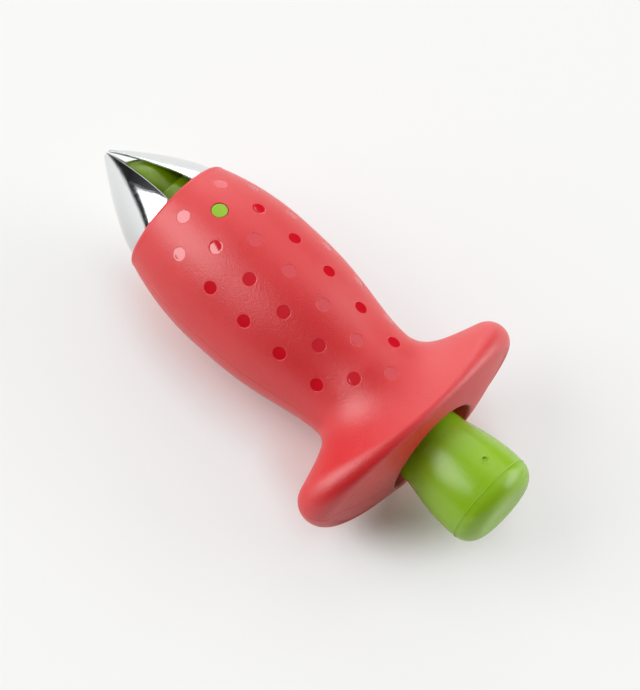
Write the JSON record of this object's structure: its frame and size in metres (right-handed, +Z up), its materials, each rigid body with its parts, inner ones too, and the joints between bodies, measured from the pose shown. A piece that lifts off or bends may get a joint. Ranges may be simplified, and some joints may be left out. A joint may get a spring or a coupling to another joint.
{
  "type": "strawberry huller",
  "caption": "Hand tool shaped like a strawberry that pulls the hull from a berry: a push button slides spring-loaded claws out of the mouth, where they open, and draws them shut again.",
  "frame": {"origin": "on the table, below the middle of the outline's box, with the tool lying on its belly and its flange", "axes": "+X along the tool towards the claws, +Y across the flange to its left wing, +Z up"},
  "size_m": [0.1038, 0.0556, 0.0313],
  "materials": {
    "red_shell": "fine matte grain, with polished seed marks",
    "green_plastic": "satin gloss",
    "polished_claw_steel": "mirror polished stainless steel",
    "inner_steel": "plain bright steel",
    "pale_plastic": "natural"
  },
  "bodies": {
    "housing": {"upper_shell": "red_shell", "lower_shell": "red_shell", "claw_guide": "green_plastic", "guide_pin_upper": "green_plastic", "guide_pin_left": "green_plastic", "guide_pin_right": "green_plastic", "rod_bush": "pale_plastic", "spring_washer_front": "inner_steel", "return_spring": "inner_steel"},
    "plunger": {"push_button": "green_plastic", "push_rod": "inner_steel", "claw_carrier": "green_plastic", "carrier_screw": "inner_steel", "spring_washer_rear": "inner_steel", "claw_axle_left": "inner_steel", "claw_axle_right": "inner_steel", "claw_axle_lower": "inner_steel"},
    "claw_left_body": {"claw_left": "polished_claw_steel"},
    "claw_right_body": {"claw_right": "polished_claw_steel"},
    "claw_lower_body": {"claw_lower": "polished_claw_steel"}
  },
  "joints": [
    {"name": "button_press", "type": "slide", "parent": "housing", "child": "plunger", "axis": [0.9999, 0, 0.0141], "range_m": [0, 0.01], "stiffness_N_per_m": 920, "springref_m": -0.008, "deforming": ["return_spring"]},
    {"name": "claw_left_open", "type": "hinge", "parent": "plunger", "child": "claw_left_body", "pos_m": [0.00982, 0.00441, 0.01795], "axis": [-0.0124, -0.4695, 0.8829], "range_deg": [0, 11.5]},
    {"name": "claw_right_open", "type": "hinge", "parent": "plunger", "child": "claw_right_body", "pos_m": [0.00982, -0.00424, 0.01825], "axis": [0.0119, -0.5299, -0.848], "range_deg": [0, 11.5]},
    {"name": "claw_lower_open", "type": "hinge", "parent": "plunger", "child": "claw_lower_body", "pos_m": [0.00992, -0.00017, 0.01061], "axis": [0.0005, 0.9994, -0.0349], "range_deg": [0, 11.5]}
  ],
  "couplings": [
    {"joint": "claw_left_open", "follows": "button_press", "rad_per_m": 19.2},
    {"joint": "claw_right_open", "follows": "button_press", "rad_per_m": 19.2},
    {"joint": "claw_lower_open", "follows": "button_press", "rad_per_m": 19.2}
  ]
}
